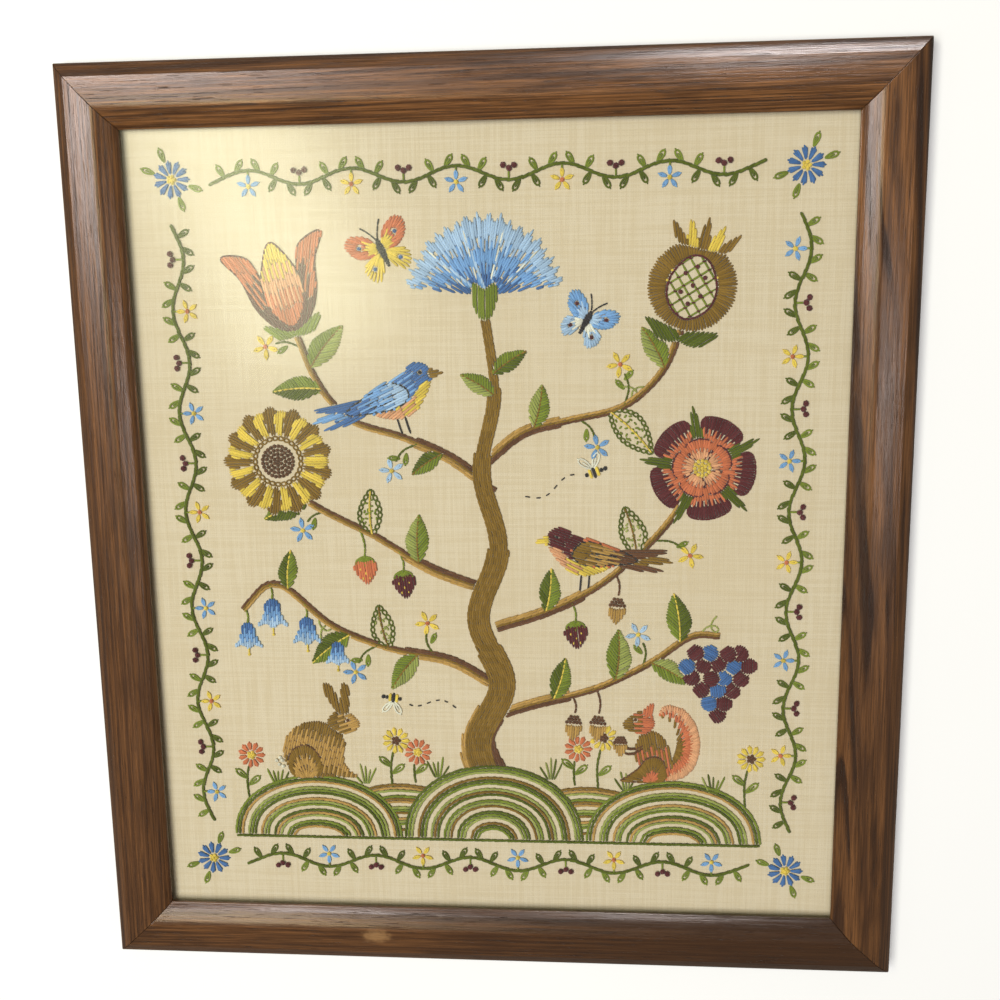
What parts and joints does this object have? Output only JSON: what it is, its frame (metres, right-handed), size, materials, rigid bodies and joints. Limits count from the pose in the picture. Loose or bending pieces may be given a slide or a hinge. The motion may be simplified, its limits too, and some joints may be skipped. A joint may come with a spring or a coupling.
{
  "type": "crewel embroidery panel in a wooden picture frame",
  "caption": "Wool crewel embroidery on a linen panel, stretched flat over a board behind glass in a mitred oak picture frame, lying on its back.",
  "frame": {"origin": "centre of the frame's back, on the surface that it lies on", "axes": "+Z out of the picture's face, +Y towards the picture's top edge, +X to the picture's right"},
  "size_m": [0.4064, 0.4572, 0.02],
  "materials": {
    "frame_wood": "walnut-stained open-pore oak with a satin varnish",
    "glazing": "clear picture glass",
    "linen": "plain-woven cream linen worked in wool",
    "hardboard": "plain brown hardboard"
  },
  "bodies": {
    "root": {"rail_bottom": "frame_wood", "rail_right": "frame_wood", "rail_top": "frame_wood", "rail_left": "frame_wood", "glass_pane": "glazing", "linen_panel": "linen", "backing_board": "hardboard"}
  },
  "joints": []
}
